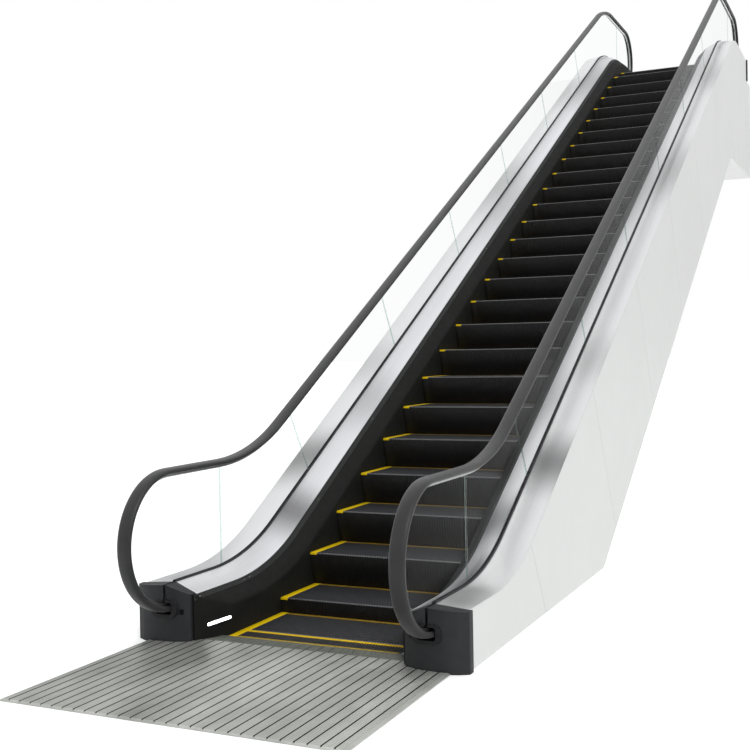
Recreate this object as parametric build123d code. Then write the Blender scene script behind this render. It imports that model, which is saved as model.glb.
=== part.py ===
# Escalator between two floors, thirty degrees, steps one metre wide.
# X runs across the machine, Y along it from the lower to the upper landing, Z up.
# The origin is on the flat underside of the base, on the centre line, below the lower inlet boxes.
from build123d import *
import os
from math import atan2, ceil, cos, degrees, radians, sin, sqrt, tan

os.makedirs("parts", exist_ok=True)

# Driving dimensions in millimetres, angles in degrees
rise = 5090                    # lower walking level to upper walking level
slope = radians(30)            # incline of the step noses
landing_level = 12             # lower walking level above the ground
lower_corner = 556             # nose line leaves the lower level here, measured from the boxes
upper_run = 1430               # nose line reaches the upper level this far before the boxes
overrun = 40                   # spare length of every cutting tool
face_gap = 2                   # narrow joint between fitted pieces

# Step band
step_pitch = 405               # chain length from one step nose to the next
step_half = 500                # half the width of a step
step_bend = 1000               # radius of the nose line at both landings
step_gap = 4                   # between a tread and the riser behind it
tread_drop = 3                 # treads run this much below the comb plate
tread_web = 14                 # tread plate with its cleats
tread_groove = 5               # depth of the grooves between cleats
nose_share = 0.75              # place of the first full step behind the lower bend
nose_land = 9                  # upright front of the tread plate, above the curved riser
cleat_count = 10               # cleats stated on each tread
groove_width = 42              # grooves stated on each tread
riser_thickness = 10
riser_foot = 8                 # the riser reaches this far below the next tread
cheek_inset = 60               # cheek plates stand in from the sides of the step
cheek_thickness = 12
roller_setback = 98            # roller behind the nose
roller_depth = 257             # middle of the roller below the tread
roller_radius = 38
roller_show = radians(50)      # half angle of the roller below the foot of the cheek plate

# Comb
comb_tip = 190                 # comb teeth end here, measured from the boxes
tooth_length = 42
tooth_side_gap = 3
tooth_floor_gap = 1            # between the teeth and the floor of their grooves
comb_plate_back = 45           # rear edge of the comb plate, measured from the boxes

# Floor plates
plate_margin = 67              # plates stand in from the outer faces of the machine
plate_length = 1095            # from the boxes to the free edge
upper_plate_length = 380       # the upper body ends this far behind its boxes
plate_groove = 5
plate_groove_pitch = 60        # every second groove is stated
plate_groove_depth = 3
plate_bevel = 7                # sloping free edges

# Balustrade, heights over the walking level, lifts over the nose line
deck_height = 280              # outer edge of the outer deck on the landings
deck_lift = 180
deck_bend = 1300
deck_crown = 15                # the decks rise to the glass seat
deck_edge = 4
deck_sheet = 6
seat_half = 12                 # glass seat, half width
seat_depth = 85                # glass seat below its lip
seat_proud = 2                 # lip of the glass seat over the decks
glass_offset = 247             # middle of the glass outside the sides of the steps
outer_deck_width = 171
glass_thickness = 12
glass_depth = 75               # glass edge below the lip of its seat
skirt_gap = 3                  # between the skirt and the steps
skirt_sheet = 4
skirt_foot = 375               # lower edge of the skirt below the deck edge
skirt_bend_depth = 123         # the skirt turns outward here, below the deck edge
ledge_depth = 44               # ledge of the skirt below the deck edge
ledge_reach = 97               # ledge corner outside the face of the skirt
ledge_width = 28
flare_width = 100              # the skirt opens by this much at the boxes
flare_length = 210
tab_width = 22                 # tab of a bracket under the ledge
panel_seam = 3
glass_seam_y = 470             # first seam of the glass
panel_pitch = 1587             # along the incline, glass and cladding
first_glass_seam = 1490        # where the first sloping glass seam meets the deck
first_panel_seam = 980         # where the first cladding seam meets the deck

# Handrail, centre of its section
rail_height = 890
rail_lift = 742
rail_bend = 1300
rail_low = 165                 # height at which it enters the inlet boxes
rail_width = 80
rail_thick = 30
rail_slot = 34                 # slot that runs over the guide
rail_slot_depth = 17
return_depth = 205             # hidden return run, below the deck edge
return_bend = 500
newel_back = 12                # newel centre in front of the boxes
guide_width = 24
guide_fit = 0.3
guide_depth = 34
rail_share = (0.35, 0.75)      # shoulders of the handrail section

# Inlet boxes
box_gap = 12                   # inner faces of the boxes outside the opened skirt
box_proud = 17                 # outer faces of the boxes outside the cladding
box_bulge = 62                 # the front bulges this far out of the plane of the boxes
box_side = 16                  # front at both sides of a box
box_facet = 50                 # flat facet beside the outer edge
box_facet_front = 42           # front where the facet begins
box_rear = 30
box_corner = 14
collar_side = 30               # collar beside the opening
collar_wall = 17               # collar over and under the opening
collar_corner = 40
collar_proud = 8
inlet_fit = 8                  # clearance of the handrail in its inlet
inlet_corner = 14
glass_fit = 2

# Cladding, truss and soffit
cladding_thickness = 16
body_drop = 1175               # underside of the soffit below the nose line
upper_body_depth = 1270        # underside below the upper walking level
soffit_sheet = 2               # soffit and base pan
pan_front = 40                 # the base pan reaches this far in front of the boxes
chord_width = 60
chord_depth = 70
chord_top = 100                # top of the upper chord below the deck edge
brace_width = 50
bracket_width = 60
beam_width = 60
landing_station = 230          # first bracket of the lower landing
upper_station_share = 0.42     # middle bracket of the upper landing, share of its length
beam_share = 0.8               # beam on the base pan, share of the pan's length
end_sheet = 10
angle_leg = 150
angle_thickness = 12
track_width = 42
track_depth = 30
track_fit = 0.3
lamp_length = 158
lamp_height = 36
lamp_share = 0.64              # middle of the lamp along the opened end of the skirt
lamp_level = 79
lamp_body = 20
lamp_fit = 0.5

# Derived places
skirt_x = step_half + skirt_gap
ledge_x = skirt_x + ledge_reach
flare_x = skirt_x + flare_width
glass_x = step_half + glass_offset
seat_in = glass_x - seat_half
seat_out = glass_x + seat_half
machine_half = seat_out + outer_deck_width
plate_half = machine_half - plate_margin
box_inner = flare_x + box_gap
box_outer = machine_half + box_proud
cheek_x = step_half - cheek_inset
cladding_x = machine_half - cladding_thickness
truss_x = cladding_x - chord_width
upper_corner = lower_corner + rise / tan(slope)
upper_boxes = upper_corner + upper_run
upper_level = landing_level + rise
machine_end = upper_boxes + upper_plate_length
plate_rear = -box_bulge - box_side - face_gap
seat_lip = deck_crown + seat_proud
nose_line_level = landing_level - tread_drop
newel_radius = (rail_height - rail_low) / 2
newel_level = (rail_height + rail_low) / 2
lower_newel_y = -newel_back
upper_newel_y = upper_boxes + newel_back
guide_top = -rail_thick / 2 + rail_slot_depth - guide_fit
guide_bottom = guide_top - guide_depth


# A line of the machine in side view: height over the walking levels, lift over the nose line,
# moved square to itself by offset.
def run_points(height, lift, start, end, offset=0):
    level = height + offset
    shift = (level - lift - offset / cos(slope)) / tan(slope)
    low = (lower_corner + shift, landing_level + level)
    high = (upper_corner + shift, upper_level + level)
    return [(start, low[1]), low, high, (end, high[1])]


def run_line(height, lift, bend, start, end, offset=0):
    points = run_points(height, lift, start, end, offset)
    return FilletPolyline(*points, radius=[bend - offset, bend + offset])


def deck_line(offset, start=box_rear, end=None):
    last = upper_boxes - box_rear if end is None else end
    return run_line(deck_height, deck_lift, deck_bend, start, last, offset)


# Area between two lines of the machine that run from left to right.
def band(top, bottom):
    left = Line(bottom @ 0, top @ 0)
    right = Line(top @ 1, bottom @ 1)
    return make_face(Wire(bottom.edges() + right.edges() + top.edges() + left.edges()))


# A side view area given a thickness between two places across the machine.
def across(area, near, far):
    return extrude(Plane.YZ.offset(near) * area, amount=far - near)


# A section (across, square to the line) carried along a side view line.
def carried(section, line):
    path = Plane.YZ * line
    start = Plane(origin=path @ 0, x_dir=(1, 0, 0), z_dir=path % 0)
    outline = make_face(Polyline(*[(x, -up) for x, up in section], close=True))
    return sweep(start * outline, path=path)


def bar(start, end, width):
    span = (Vector(*end) - Vector(*start)).length
    turn = degrees(atan2(end[1] - start[1], end[0] - start[0]))
    return Pos(*start) * Rot(0, 0, turn) * Rectangle(span, width, align=(Align.MIN, Align.CENTER))


def box_between(low, high):
    size = [b - a for a, b in zip(low, high)]
    middle = [(a + b) / 2 for a, b in zip(low, high)]
    return Pos(*middle) * Box(*size)


def save(shape, name):
    export_step(shape, "parts/" + name + ".step")
    print(name, len(shape.solids()))


def save_pair(shape, name):
    save(shape, "right_" + name)
    save(mirror(shape, about=Plane.YZ), "left_" + name)


def group(solids):
    return Compound(children=list(solids))


# The two like pieces at the sides of the machine
def save_both(shape, name):
    save(group([shape, mirror(shape, about=Plane.YZ)]), name)


# A point on a line square to the incline, where that line crosses the deck edge at y.
def square_to_run(y, depth):
    top = landing_level + deck_lift + (y - lower_corner) * tan(slope)
    return (y + depth * sin(slope), top - depth * cos(slope))


# Stations of the posts and brackets: on the landings the structure is upright there.
def stations():
    going = panel_pitch * cos(slope)
    first = lower_corner + going
    count = ceil((upper_corner - first) / going)
    inclined = [first + number * going for number in range(count)]
    middle = upper_boxes - (upper_boxes - inclined[-1]) * upper_station_share
    return [landing_station] + inclined + [middle, upper_boxes - landing_station]


def is_level(y):
    return y < lower_corner or y > upper_corner


def station_turn(y):
    return 0 if is_level(y) else degrees(slope)


# A point square below the deck edge at a station.
def station_point(y, depth):
    if is_level(y):
        level = landing_level if y < lower_corner else upper_level
        return (y, level + deck_height - depth)
    return square_to_run(y, depth)


# Cuts for the seams of glass and cladding, square to the incline.
def seam_cuts(first, reach_up, reach_down, count):
    going = panel_pitch * cos(slope)
    cuts = []
    for number in range(count):
        y = first + number * going
        cuts.append(bar(square_to_run(y, -reach_up), square_to_run(y, reach_down), panel_seam))
    return cuts


# Height of the nose line over the lower tread level, with its two bends.
def nose_height(y):
    tangent = step_bend * tan(slope / 2)
    bend_start = lower_corner - tangent
    bend_end = lower_corner + tangent * cos(slope)
    turn_start = upper_corner - tangent * cos(slope)
    turn_end = upper_corner + tangent
    if y <= bend_start:
        return 0
    if y < bend_end:
        return step_bend - sqrt(step_bend ** 2 - (y - bend_start) ** 2)
    if y <= turn_start:
        return (y - lower_corner) * tan(slope)
    if y < turn_end:
        return rise - step_bend + sqrt(step_bend ** 2 - (turn_end - y) ** 2)
    return rise


# The next nose lies one chain pitch along the band, forward or back.
def next_nose(y, direction):
    near = 0
    far = step_pitch
    for halving in range(50):
        reach = (near + far) / 2
        lift = nose_height(y + direction * reach) - nose_height(y)
        if reach ** 2 + lift ** 2 < step_pitch ** 2:
            near = reach
        else:
            far = reach
    return y + direction * near


def nose_places():
    first = lower_corner + step_bend * tan(slope / 2) * cos(slope) + step_pitch * cos(slope) * nose_share
    places = [first]
    while places[0] > comb_tip:
        places.insert(0, next_nose(places[0], -1))
    while places[-1] + step_pitch < upper_boxes - comb_tip:
        places.append(next_nose(places[-1], 1))
    return places


# Steps
def step_outline():
    deep = step_pitch * sin(slope) + riser_foot
    foot = step_pitch - sqrt(step_pitch ** 2 - deep ** 2)
    half_deep = deep / 2
    half_foot = step_pitch - sqrt(step_pitch ** 2 - half_deep ** 2)
    front = ThreePointArc((0, -nose_land), (half_foot, -half_deep), (foot, -deep))
    rest = Polyline((foot, -deep), (foot + riser_thickness, -deep), (riser_thickness + tread_web, -tread_web),
                    (step_pitch - step_gap, -tread_web), (step_pitch - step_gap, 0), (0, 0), (0, -nose_land))
    return make_face(Wire(front.edges() + rest.edges()))


# Cheek plate of a step, with the roller that carries it
def cheek_outline():
    reach = roller_radius * sin(roller_show)
    foot = -roller_depth - roller_radius * cos(roller_show)
    roller = ThreePointArc((roller_setback - reach, foot), (roller_setback, -roller_depth - roller_radius),
                           (roller_setback + reach, foot))
    plate = Polyline((roller_setback + reach, foot), (step_pitch / 2, -tread_web), (riser_thickness, -tread_web),
                     (roller_setback - reach, foot))
    return make_face(Wire(roller.edges() + plate.edges()))


def build_step():
    body = across(step_outline(), -step_half, step_half)
    for side in (-1, 1):
        near = side * cheek_x - cheek_thickness / 2
        body += across(cheek_outline(), near, near + cheek_thickness)
    grooves = []
    for number in range(cleat_count - 1):
        x = groove_place(number)
        low = (x - groove_width / 2, -overrun, -tread_groove)
        high = (x + groove_width / 2, step_pitch, overrun)
        grooves.append(box_between(low, high))
    return body - grooves


def groove_place(number):
    return (number + 1 - cleat_count / 2) * 2 * step_half / cleat_count


def build_steps():
    step = build_step()
    places = nose_places()
    ground = box_between((-machine_half, -machine_end, -upper_level),
                         (machine_half, 2 * machine_end, soffit_sheet))
    lower_cut = box_between((-machine_half, -machine_end, -upper_level),
                            (machine_half, comb_tip - tooth_length + face_gap, upper_level))
    upper_cut = box_between((-machine_half, upper_boxes - comb_tip + tooth_length - face_gap, 0),
                            (machine_half, machine_end, 2 * upper_level))
    lower = []
    middle = []
    upper = []
    for y in places:
        height = nose_height(y)
        placed = Pos(0, y, nose_line_level + height) * step
        if y < lower_corner + step_pitch * 2:
            placed = placed - ground - lower_cut
            solids = sorted(placed.solids(), key=lambda s: s.volume)
            lower.append(solids[-1])
        elif height < rise - step_pitch / 2:
            middle.append(placed)
        else:
            upper.append(placed - upper_cut)
    return lower, middle, upper


def comb_teeth():
    teeth = []
    length = tooth_length + face_gap
    for number in range(cleat_count - 1):
        x = groove_place(number)
        half = groove_width / 2 - tooth_side_gap
        low = tooth_floor_gap - tread_drop - tread_groove
        outline = Polyline((0, 0), (length, -tread_drop - face_gap), (length, low), (0, low), close=True)
        teeth.append(across(make_face(outline), x - half, x + half))
    return teeth


lower_steps, incline_steps, upper_steps = build_steps()
save(group(lower_steps), "lower_landing_steps")
save(group(incline_steps), "incline_steps")
save(group(upper_steps), "upper_landing_steps")


# Comb plates: the plate between the flared skirts and its teeth
def build_comb(base):
    root = comb_tip - tooth_length
    rear_half = flare_half(comb_plate_back) - face_gap
    front_half = flare_half(root) - face_gap
    outline = Polyline((-rear_half, comb_plate_back), (rear_half, comb_plate_back), (front_half, root),
                       (-front_half, root), close=True)
    plate = Pos(0, 0, base) * extrude(make_face(outline), amount=landing_level - base)
    for tooth in comb_teeth():
        plate += Pos(0, root, landing_level) * tooth
    return plate


# Half width between the skirts at the lower flare
def flare_half(y):
    if y >= flare_length:
        return skirt_x
    return skirt_x + (flare_x - skirt_x) * (1 - y / flare_length)


def turned_to_top(shape):
    turned = Rot(0, 0, 180) * shape
    return Pos(0, upper_boxes, rise) * turned


# A piece of the right side, placed on the right side of the upper landing
def at_top(shape):
    return turned_to_top(mirror(shape, about=Plane.YZ))


save(build_comb(soffit_sheet), "lower_comb_plate")
save(turned_to_top(build_comb(0)), "upper_comb_plate")


# Floor plates, grooved along the way of travel, with a tongue between the boxes
def build_floor_plate(length):
    tongue_half = box_inner - face_gap
    outline = Polyline((-plate_half, -length), (plate_half, -length), (plate_half, plate_rear),
                       (tongue_half, plate_rear), (flare_x - face_gap, 0),
                       (flare_half(comb_plate_back) - face_gap, comb_plate_back),
                       (face_gap - flare_half(comb_plate_back), comb_plate_back), (face_gap - flare_x, 0),
                       (-tongue_half, plate_rear), (-plate_half, plate_rear), close=True)
    plate = extrude(make_face(outline), amount=landing_level)
    front = plate.edges().filter_by(Axis.X).group_by(Axis.Y)[0].sort_by(Axis.Z)[-1]
    sides = plate.edges().filter_by(Axis.Y).group_by(Axis.Z)[-1]
    plate = chamfer([front, sides.sort_by(Axis.X)[0], sides.sort_by(Axis.X)[-1]], plate_bevel)
    grooves = []
    first = plate_groove_pitch / 2
    count = ceil((plate_half - plate_bevel - first) / (2 * plate_groove_pitch))
    for number in range(count):
        for side in (-1, 1):
            x = side * (first + number * 2 * plate_groove_pitch)
            low = (x - plate_groove / 2, -length - overrun, landing_level - plate_groove_depth)
            high = (x + plate_groove / 2, comb_plate_back + overrun, landing_level + overrun)
            grooves.append(box_between(low, high))
    return plate - grooves


# Underside in side view, moved inward by inset
def under_points(inset):
    low = inset
    high = upper_level - upper_body_depth + inset
    nose = landing_level - body_drop + inset / cos(slope)
    knee = lower_corner + (low - nose) / tan(slope)
    bend = lower_corner + (high - nose) / tan(slope)
    return [(box_rear, low), (knee, low), (bend, high), (machine_end - end_sheet, high)]


# Base pan: the sheet that the lower end stands on, with a tongue under the floor plate
def build_pan():
    outer = under_points(0)
    inner = under_points(soffit_sheet)
    profile = Polyline((box_rear, 0), outer[1], inner[1], (box_rear, soffit_sheet), close=True)
    tongue = box_between((face_gap - box_inner, -pan_front, 0), (box_inner - face_gap, box_rear, soffit_sheet))
    return across(make_face(profile), -cladding_x, cladding_x) + tongue


base_pan = build_pan()
save(build_floor_plate(plate_length) - base_pan, "lower_floor_plate")
save(turned_to_top(build_floor_plate(upper_plate_length)), "upper_floor_plate")
save(base_pan, "base_pan")


# Skirt: one folded sheet from below the treads to the ledge under the inner deck
def skirt_section():
    inner = [(skirt_x, -skirt_foot), (skirt_x, -skirt_bend_depth), (ledge_x, -ledge_depth),
             (ledge_x + ledge_width, -ledge_depth)]
    fold = skirt_sheet * tan(slope / 2)
    outer = [(ledge_x + ledge_width, -ledge_depth - skirt_sheet), (ledge_x + fold, -ledge_depth - skirt_sheet),
             (skirt_x + skirt_sheet, -skirt_bend_depth - fold), (skirt_x + skirt_sheet, -skirt_foot)]
    return inner + outer


# Folded sheet of the landing end, which opens towards the boxes
def build_flare(base):
    level = landing_level + deck_height
    far = ledge_x + ledge_width
    fold = skirt_sheet * tan(slope / 2)
    outside = Polyline((skirt_x, base), (skirt_x, level - skirt_bend_depth), (ledge_x, level - ledge_depth),
                       (far, level - ledge_depth), (far, base), close=True)
    inside = Polyline((skirt_x + skirt_sheet, base), (skirt_x + skirt_sheet, level - skirt_bend_depth - fold),
                      (ledge_x + fold, level - ledge_depth - skirt_sheet),
                      (far, level - ledge_depth - skirt_sheet), (far, base), close=True)
    return flare_body(outside, 0, level) - flare_body(inside, skirt_sheet, level)


def flare_body(profile, inset, level):
    far = ledge_x + ledge_width
    plan = Polyline((flare_x + inset, 0), (skirt_x + inset, flare_length), (far, flare_length), (far, 0), close=True)
    upright = extrude(make_face(plan), amount=level)
    return upright & extrude(Plane.XZ * make_face(profile), amount=-flare_length)


def build_skirt():
    above_ground = box_between((0, -overrun, soffit_sheet), (machine_half, machine_end, 2 * upper_level))
    run = carried(skirt_section(), deck_line(0, flare_length, upper_boxes - flare_length)) & above_ground
    upper_flare = at_top(build_flare(0))
    skirt = run + build_flare(soffit_sheet) + upper_flare
    room = box_between((box_inner - face_gap, -overrun, 0), (machine_half, box_rear, upper_level))
    upper_room = at_top(room)
    return skirt - lamp_solid(lamp_fit) - room - upper_room


# Lamp set flush in the opened end of the skirt
def lamp_solid(fit):
    middle = (skirt_x + flare_width * (1 - lamp_share), flare_length * lamp_share, landing_level + lamp_level)
    face = Plane(origin=middle, x_dir=(-flare_width, flare_length, 0), z_dir=(flare_length, flare_width, 0))
    return extrude(face * SlotOverall(lamp_length + 2 * fit, lamp_height + 2 * fit), amount=lamp_body)


save_pair(build_skirt(), "skirt")
save_both(lamp_solid(0), "entry_lamps")


# Decks and the glass seat between them
inner_deck_section = [(ledge_x + deck_sheet, -ledge_depth), (ledge_x + deck_sheet, -ledge_depth + deck_sheet),
                      (seat_in, deck_crown), (seat_in, deck_crown - deck_sheet),
                      (ledge_x + ledge_width, -ledge_depth)]
outer_deck_section = [(seat_out, deck_crown - deck_sheet), (seat_out, deck_crown), (machine_half, 0),
                      (machine_half, -deck_edge), (cladding_x, -deck_edge)]
seat_section = [(seat_in, seat_lip), (seat_in, seat_lip - seat_depth), (seat_out, seat_lip - seat_depth),
                (seat_out, seat_lip), (glass_x + glass_thickness / 2, seat_lip),
                (glass_x + glass_thickness / 2, seat_lip - glass_depth),
                (glass_x - glass_thickness / 2, seat_lip - glass_depth), (glass_x - glass_thickness / 2, seat_lip)]
save_pair(carried(inner_deck_section, deck_line(0)), "inner_deck")
save_pair(carried(outer_deck_section, deck_line(0)), "outer_deck")
save_pair(carried(seat_section, deck_line(0)), "glass_seat")


# Handrail loop: newel ends, upper run and the hidden return run
def newel_arc(y, level, side, radius):
    top = (y, level + radius)
    tip = (y + side * radius, level)
    foot = (y, level - radius)
    return ThreePointArc(foot, tip, top) if side < 0 else ThreePointArc(top, tip, foot)


def rail_path(offset=0):
    run = run_line(rail_height, rail_lift, rail_bend, lower_newel_y, upper_newel_y, offset)
    lower = newel_arc(lower_newel_y, landing_level + newel_level, -1, newel_radius + offset)
    upper = newel_arc(upper_newel_y, upper_level + newel_level, 1, newel_radius + offset)
    return lower, run, upper


def return_line():
    lift = deck_lift - return_depth / cos(slope)
    return run_line(rail_low, lift, return_bend, lower_newel_y, upper_newel_y)


def rail_section():
    half = rail_width / 2
    slot = rail_slot / 2
    low = -rail_thick / 2
    return [(-slot, low), (-half, low * rail_share[0]), (-half * rail_share[1], -low),
            (half * rail_share[1], -low), (half, low * rail_share[0]), (slot, low),
            (slot, low + rail_slot_depth), (-slot, low + rail_slot_depth)]


def build_handrail():
    lower, run, upper = rail_path()
    loop = Wire(run.edges() + upper.edges() + return_line().edges() + lower.edges())
    path = Plane.YZ * loop
    begin = Plane.YZ * Line(run @ 0, run @ 0.01)
    start = Plane(origin=begin @ 0, x_dir=(1, 0, 0), z_dir=begin % 0)
    outline = make_face(Polyline(*[(x, -up) for x, up in rail_section()], close=True))
    return Pos(glass_x, 0, 0) * sweep(start * outline, path=path)


def build_guide():
    half = guide_width / 2
    section = [(-half, guide_top), (half, guide_top), (half, guide_bottom), (-half, guide_bottom)]
    lower, run, upper = rail_path()
    path = Plane.YZ * Wire(lower.edges() + run.edges() + upper.edges())
    start = Plane(origin=path @ 0, x_dir=(1, 0, 0), z_dir=path % 0)
    outline = make_face(Polyline(*[(x, -up) for x, up in section], close=True))
    return Pos(glass_x, 0, 0) * sweep(start * outline, path=path)


save_pair(build_handrail(), "handrail")
save_pair(build_guide(), "handrail_guide")


# Glass: one pane at each newel and panes of one pitch along the incline
def glass_solids():
    top = run_line(rail_height, rail_lift, rail_bend, lower_newel_y, upper_newel_y, guide_bottom)
    bottom = deck_line(seat_lip - glass_depth, lower_newel_y, upper_newel_y)
    radius = newel_radius + guide_bottom
    area = band(top, bottom)
    for y, level, side in ((lower_newel_y, landing_level, -1), (upper_newel_y, upper_level, 1)):
        centre = (y, level + newel_level)
        disc = Pos(*centre) * Circle(radius)
        behind = y - side * (newel_back + box_rear)
        low = min(y + side * 2 * radius, behind)
        high = max(y + side * 2 * radius, behind)
        keep = Pos((low + high) / 2, centre[1]) * Rectangle(high - low, 2 * radius)
        area = area + (disc & keep)
    first = bar((glass_seam_y, 0), (glass_seam_y, rail_height * 2), panel_seam)
    last_y = upper_boxes - glass_seam_y
    last = bar((last_y, rise), (last_y, rise + rail_height * 2), panel_seam)
    count = int((upper_corner - first_glass_seam) / (panel_pitch * cos(slope))) + 1
    panes = area - [first, last] - seam_cuts(first_glass_seam, rail_height, seat_depth + overrun, count)
    return across(panes, glass_x - glass_thickness / 2, glass_x + glass_thickness / 2).solids()


save_pair(group(glass_solids()), "balustrade_glass")


# Inlet boxes with the opening of the handrail and the slot of the glass
inlet_low = landing_level + rail_low - rail_thick / 2 - inlet_fit
inlet_high = landing_level + rail_low - guide_bottom + inlet_fit
inlet_level = (inlet_low + inlet_high) / 2


def inlet_outline(side, wall, corner):
    width = rail_width + 2 * inlet_fit + 2 * side
    height = inlet_high - inlet_low + 2 * wall
    return Plane.XZ * Pos(glass_x, inlet_level) * RectangleRounded(width, height, corner)


def glass_slot():
    half = glass_thickness / 2 + glass_fit
    return box_between((glass_x - half, -box_bulge - overrun, inlet_level),
                       (glass_x + half, box_rear + overrun, landing_level + rail_height))


# The top of a box continues the slopes of the decks
def inlet_profile(base):
    level = landing_level + deck_height
    deck_start = ledge_x + deck_sheet
    deck_slope = (deck_crown + ledge_depth - deck_sheet) / (seat_in - deck_start)
    inner_top = level - ledge_depth + deck_sheet + (box_inner - deck_start) * deck_slope
    points = [(box_inner, base), (box_outer, base), (box_outer, level), (machine_half, level),
              (seat_out, level + deck_crown), (seat_in, level + deck_crown), (box_inner, inner_top)]
    return Plane.XZ * make_face(Polyline(*points, close=True))


def inlet_box(base):
    facet_x = box_outer - box_facet
    middle = (box_inner + facet_x) / 2
    front = ThreePointArc((box_inner, -box_side), (middle, -box_bulge), (facet_x, -box_facet_front))
    corner = FilletPolyline((facet_x, -box_facet_front), (box_outer, -box_side), (box_outer, box_rear),
                            radius=box_corner)
    rest = Polyline((box_outer, box_rear), (box_inner, box_rear), (box_inner, -box_side))
    outline = make_face(Wire(front.edges() + corner.edges() + rest.edges()))
    body = extrude(outline, amount=landing_level + rail_height)
    body &= extrude(inlet_profile(base), amount=box_bulge + overrun, both=True)
    body -= extrude(inlet_outline(collar_side, collar_wall, collar_corner), amount=box_bulge + overrun, both=True)
    return body - glass_slot()


def inlet_collar():
    ring = extrude(inlet_outline(collar_side, collar_wall, collar_corner), amount=box_bulge + collar_proud)
    ring -= extrude(inlet_outline(0, 0, inlet_corner), amount=box_bulge + overrun, both=True)
    return ring - glass_slot()


save_pair(inlet_box(0), "lower_inlet_box")
save_pair(at_top(inlet_box(landing_level)), "upper_inlet_box")
save_both(inlet_collar(), "lower_inlet_collars")
save_both(at_top(inlet_collar()), "upper_inlet_collars")


# Whole side of the machine below the decks, with its upper edge dropped by drop
def side_area(drop, inset, ceiling):
    deck = deck_line(-drop)
    under = under_points(inset)
    rest = Polyline(deck @ 1, (upper_boxes - box_rear, ceiling), (machine_end - end_sheet, ceiling), under[3],
                    under[2], under[1], under[0], deck @ 0)
    return make_face(Wire(deck.edges() + rest.edges()))


def build_cladding():
    area = side_area(deck_edge, 0, upper_level)
    count = ceil((upper_corner - first_panel_seam) / (panel_pitch * cos(slope)))
    cuts = seam_cuts(first_panel_seam, overrun, 2 * body_drop, count)
    return group(across(area - cuts, cladding_x, machine_half).solids())


save_pair(build_cladding(), "cladding")


def build_soffit():
    outer = under_points(0)
    inner = under_points(soffit_sheet)
    area = make_face(Polyline(outer[1], outer[2], outer[3], inner[3], inner[2], inner[1], close=True))
    return across(area, -cladding_x, cladding_x)


save(build_soffit(), "soffit")


# Truss side frame: chords, end posts, posts square to the incline and diagonals
def truss_area():
    whole = side_area(chord_top, soffit_sheet, rise)
    hollow = side_area(chord_top + chord_depth, soffit_sheet + chord_depth, rise - chord_depth)
    ends = Pos(box_rear, 0) * Rectangle(2 * chord_depth, 4 * upper_level)
    ends += Pos(machine_end - end_sheet, 0) * Rectangle(2 * chord_depth, 4 * upper_level)
    frame = whole - (hollow - ends)
    depth = (body_drop + deck_lift) * cos(slope)
    places = stations()[1:]
    heads = [station_point(y, chord_top) for y in places]
    feet = [station_point(y, upper_body_depth + deck_height if is_level(y) else depth) for y in places]
    braces = []
    for head, foot in zip(heads, feet):
        braces.append(bar(head, foot, brace_width))
    for head, foot in zip(heads[1:], feet):
        braces.append(bar(head, foot, brace_width))
    for brace in braces:
        frame += brace & whole
    return frame


save_pair(across(truss_area(), truss_x, cladding_x), "truss_frame")


# Cross beams between the side frames, on the lower chords, and below the upper plates
def beam_places():
    pan = under_points(soffit_sheet)
    places = [(pan[1][0] * beam_share, soffit_sheet + beam_width / 2, 0)]
    depth = (body_drop + deck_lift) * cos(slope) - soffit_sheet - beam_width / 2
    for y in stations():
        foot = station_point(y, depth)
        if pan[1][0] + beam_width < foot[0] < pan[2][0] - beam_width and not is_level(y):
            places.append((foot[0], foot[1], degrees(slope)))
    lower_chord = pan[2][1] + beam_width / 2
    for y in (stations()[-2], machine_end - end_sheet - beam_width):
        places.append((y, lower_chord, 0))
    under_plate = rise - beam_width / 2
    for y in (upper_boxes - comb_plate_back - beam_width, machine_end - end_sheet - beam_width):
        places.append((y, under_plate, 0))
    return places


def build_beams():
    beams = []
    for y, z, turn in beam_places():
        area = Pos(y, z) * Rot(0, 0, turn) * Rectangle(beam_width, beam_width)
        beams.append(across(area, -truss_x, truss_x))
    return group(beams)


save(build_beams(), "cross_beams")


# Brackets on the upper chord carry the glass seat, and their tabs the ledge of the skirt
def build_brackets():
    brackets = []
    tab_far = ledge_x + ledge_width
    for y in stations():
        ledge = station_point(y, ledge_depth + skirt_sheet)
        head = station_point(y, seat_depth - seat_lip)
        foot = station_point(y, chord_top)
        arm = across(bar(head, foot, bracket_width), tab_far - tab_width, cladding_x)
        tab = across(bar(ledge, head, bracket_width), tab_far - tab_width, tab_far)
        brackets.append(arm + tab)
    return group(brackets)


save_pair(build_brackets(), "balustrade_brackets")


# Track under the rollers of the steps, held by the posts of the truss
def build_track():
    lift = -tread_drop - roller_depth - roller_setback * tan(slope)
    level = -tread_drop - roller_depth
    end = upper_boxes - comb_tip + tooth_length
    start = lower_corner - step_bend
    top = run_line(level, lift, step_bend, start, end, -roller_radius - track_fit)
    bottom = run_line(level, lift, step_bend, start, end, -roller_radius - track_fit - track_depth)
    inside = Pos(machine_end / 2, upper_level + soffit_sheet) * Rectangle(2 * machine_end, 2 * upper_level)
    area = band(top, bottom) & inside
    near = cheek_x - track_width / 2
    rail = across(area, near, near + track_width)
    for y in stations()[1:]:
        below = roller_radius + track_fit + track_depth / 2
        depth = deck_height - level + below if is_level(y) else (deck_lift - lift) * cos(slope) + below
        if y < end:
            arm = Pos(*station_point(y, depth)) * Rot(0, 0, station_turn(y)) * Rectangle(brace_width, track_depth)
            rail += across(arm, near, truss_x)
    return rail


save_pair(build_track(), "step_track")


# Upper end plate and the angle that rests on the upper floor
def build_end():
    low = upper_level - upper_body_depth
    return box_between((-machine_half, machine_end - end_sheet, low), (machine_half, machine_end, rise))


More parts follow.
